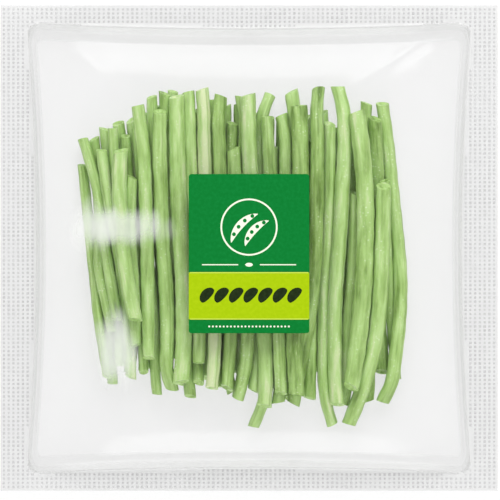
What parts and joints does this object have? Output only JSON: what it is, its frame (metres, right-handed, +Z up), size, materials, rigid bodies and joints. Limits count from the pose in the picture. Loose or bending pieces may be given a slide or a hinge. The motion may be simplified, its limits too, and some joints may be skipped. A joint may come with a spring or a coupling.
{
  "type": "green bean bundle",
  "caption": "Bundle of trimmed fine green beans lying side by side in a flat, welded clear film pouch with a small printed label on top.",
  "frame": {"origin": "under the middle of the pouch, on the surface that it lies on", "axes": "+X across the pouch, +Y along the beans towards their stalk ends, +Z up out of the label"},
  "size_m": [0.209, 0.204, 0.0279],
  "materials": {
    "bean_skin": "satin, faintly ribbed green pod skin",
    "clear_film": "clear glossy film",
    "label_paper": "printed satin label"
  },
  "bodies": {
    "root": {"bean_01": "bean_skin", "bean_02": "bean_skin", "bean_03": "bean_skin", "bean_04": "bean_skin", "bean_05": "bean_skin", "bean_06": "bean_skin", "bean_07": "bean_skin", "bean_08": "bean_skin", "bean_09": "bean_skin", "bean_10": "bean_skin", "bean_11": "bean_skin", "bean_12": "bean_skin", "bean_13": "bean_skin", "bean_14": "bean_skin", "bean_15": "bean_skin", "bean_16": "bean_skin", "bean_17": "bean_skin", "bean_18": "bean_skin", "bean_19": "bean_skin", "bean_20": "bean_skin", "bean_21": "bean_skin", "bean_22": "bean_skin", "bean_23": "bean_skin", "bean_24": "bean_skin", "bean_25": "bean_skin", "bean_26": "bean_skin", "bean_27": "bean_skin", "bean_28": "bean_skin", "bean_29": "bean_skin", "bean_30": "bean_skin", "bean_31": "bean_skin", "bean_32": "bean_skin", "bean_33": "bean_skin", "bean_34": "bean_skin", "bean_35": "bean_skin", "bean_36": "bean_skin", "bean_37": "bean_skin", "bean_38": "bean_skin", "bean_39": "bean_skin", "bean_40": "bean_skin", "bean_41": "bean_skin", "bean_42": "bean_skin", "bean_43": "bean_skin", "bean_44": "bean_skin", "bean_45": "bean_skin", "bean_46": "bean_skin", "bean_47": "bean_skin", "bean_48": "bean_skin", "bean_49": "bean_skin", "bean_50": "bean_skin", "bean_51": "bean_skin", "bean_52": "bean_skin", "bean_53": "bean_skin", "bean_54": "bean_skin", "bean_55": "bean_skin", "bean_56": "bean_skin", "bean_57": "bean_skin", "pouch_lower_film": "clear_film", "pouch_upper_film": "clear_film", "label": "label_paper"}
  },
  "joints": []
}
